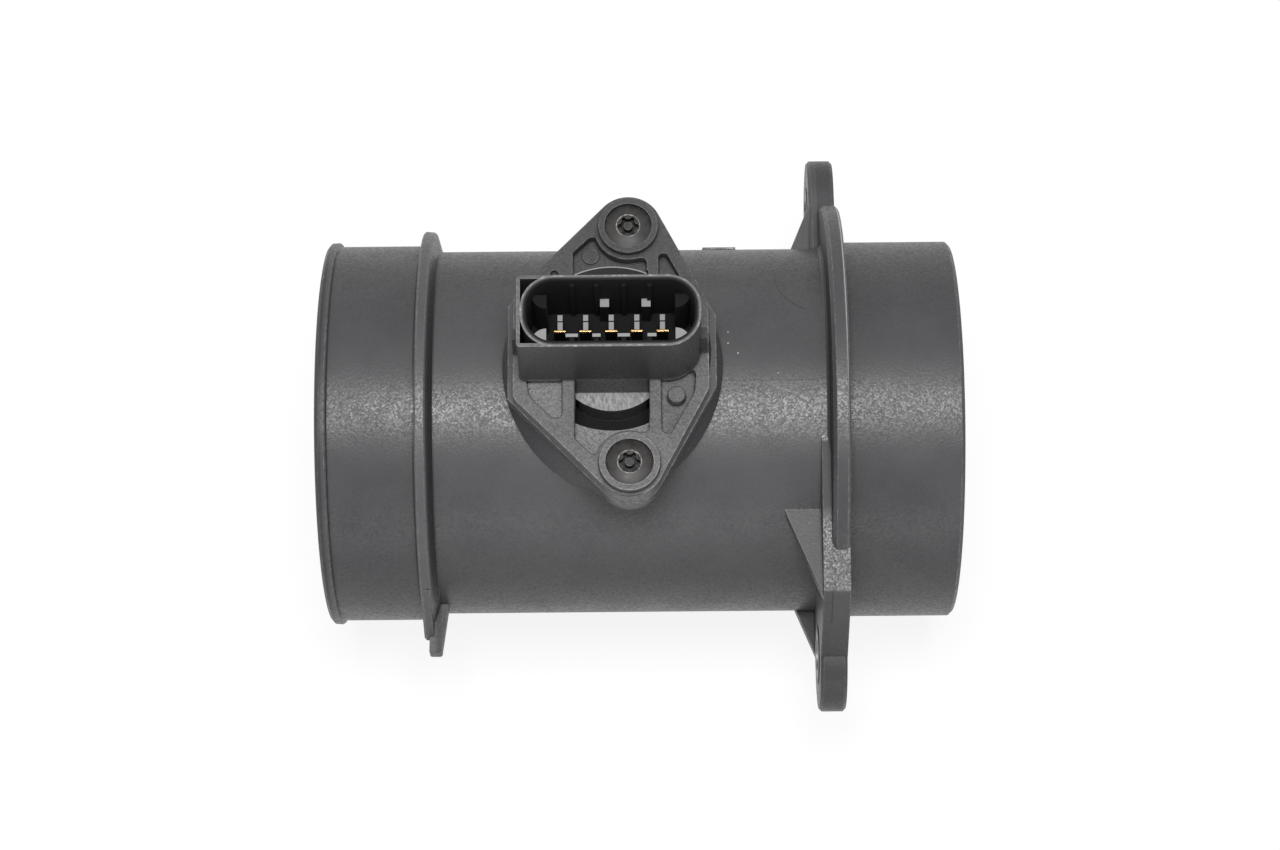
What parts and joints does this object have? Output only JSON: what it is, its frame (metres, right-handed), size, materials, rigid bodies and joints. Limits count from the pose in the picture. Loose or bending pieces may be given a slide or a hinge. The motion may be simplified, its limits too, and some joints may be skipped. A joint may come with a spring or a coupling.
{
  "type": "mass airflow sensor",
  "caption": "Moulded air duct with a hose spigot, a two-ear bolt flange and a plug-in hot-film air-mass sensor with a pin connector.",
  "frame": {"origin": "on the duct's axis, in the mating face of the bolt flange, midway between its two bolts", "axes": "+X along the duct against the air stream, towards the inlet spigot; +Z towards the plug-in sensor; the bolts lie along Y"},
  "size_m": [0.1315, 0.1236, 0.1165],
  "materials": {
    "duct_plastic": "fine-textured dark grey glass-filled moulding",
    "sensor_plastic": "fine-textured black moulding",
    "lid_plastic": "black moulding",
    "grid_plastic": "black moulding",
    "seal_rubber": "smooth black rubber",
    "contact_metal": "plated copper alloy",
    "screw_steel": "black-coated steel",
    "sleeve_steel": "zinc-plated steel",
    "spring_steel": "bright spring steel",
    "plate_aluminium": "plain aluminium",
    "board_ceramic": "white alumina",
    "chip_black": "black encapsulation",
    "chip_ceramic": "brown sintered ceramic",
    "silicon": "polished silicon",
    "bead_glass": "coated thermistor bead"
  },
  "bodies": {
    "root": {"duct_housing": "duct_plastic", "sensor_housing": "sensor_plastic", "o_ring": "seal_rubber", "electronics_cover": "lid_plastic", "bypass_cover": "lid_plastic", "carrier_plate": "plate_aluminium", "circuit_board": "board_ceramic", "evaluation_chip": "chip_black", "capacitor_1": "chip_ceramic", "capacitor_2": "chip_ceramic", "capacitor_3": "chip_ceramic", "element_holder": "plate_aluminium", "sensor_element": "silicon", "air_thermistor": "bead_glass", "flow_straightener": "grid_plastic", "wire_screen": "spring_steel", "retaining_ring": "spring_steel", "screw_1": "screw_steel", "screw_2": "screw_steel", "sleeve_1": "sleeve_steel", "sleeve_2": "sleeve_steel", "terminal_1": "contact_metal", "bond_ribbon_1": "plate_aluminium", "terminal_2": "contact_metal", "bond_ribbon_2": "plate_aluminium", "terminal_3": "contact_metal", "bond_ribbon_3": "plate_aluminium", "terminal_4": "contact_metal", "bond_ribbon_4": "plate_aluminium", "terminal_5": "contact_metal", "bond_ribbon_5": "plate_aluminium"}
  },
  "joints": []
}
